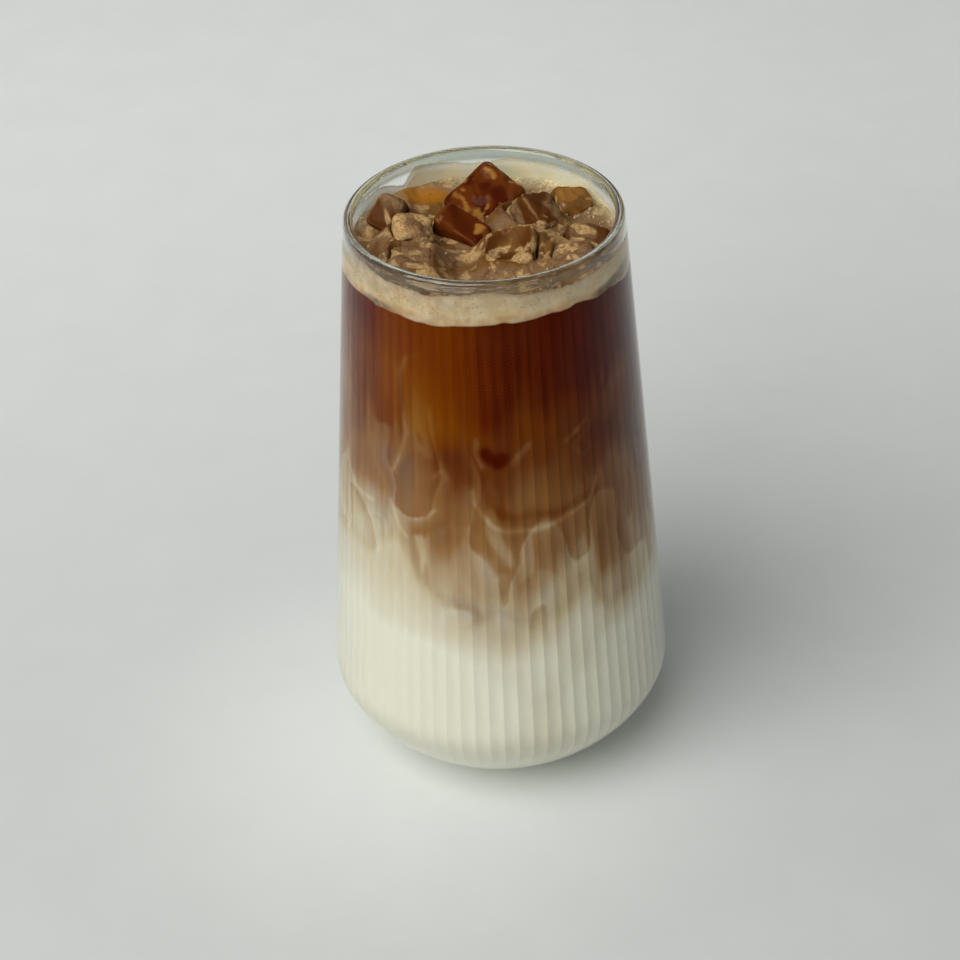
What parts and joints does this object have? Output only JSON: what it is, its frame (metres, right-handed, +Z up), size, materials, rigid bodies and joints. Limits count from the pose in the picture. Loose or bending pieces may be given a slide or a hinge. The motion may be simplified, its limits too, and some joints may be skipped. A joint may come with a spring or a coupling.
{
  "type": "iced latte in a ribbed tumbler",
  "caption": "Tall tapered ribbed glass filled with milk, a mixed layer and coffee, topped with foam and ice blocks.",
  "frame": {"origin": "centre of the glass's foot, on the surface it stands on", "axes": "+Z up along the glass's axis of symmetry; -Y towards the viewer of the picture"},
  "size_m": [0.082, 0.082, 0.1456],
  "materials": {
    "glass": "clear, faintly grey-green at the rim",
    "milk": "opaque cream-white liquid",
    "mixed_layer": "cloudy coffee and milk, in swirls",
    "coffee": "dark translucent coffee",
    "foam": "bubbly milk foam",
    "ice": "wet clear ice, partly foam-coated"
  },
  "bodies": {
    "root": {"glass": "glass", "milk": "milk", "mixed_layer": "mixed_layer", "coffee": "coffee", "foam": "foam", "ice_back": "ice", "ice_centre": "ice", "ice_left_back": "ice", "ice_left": "ice", "ice_front_left": "ice", "ice_hollow": "ice", "ice_right": "ice", "ice_right_back": "ice", "ice_far_right": "ice", "ice_front_right": "ice"}
  },
  "joints": []
}
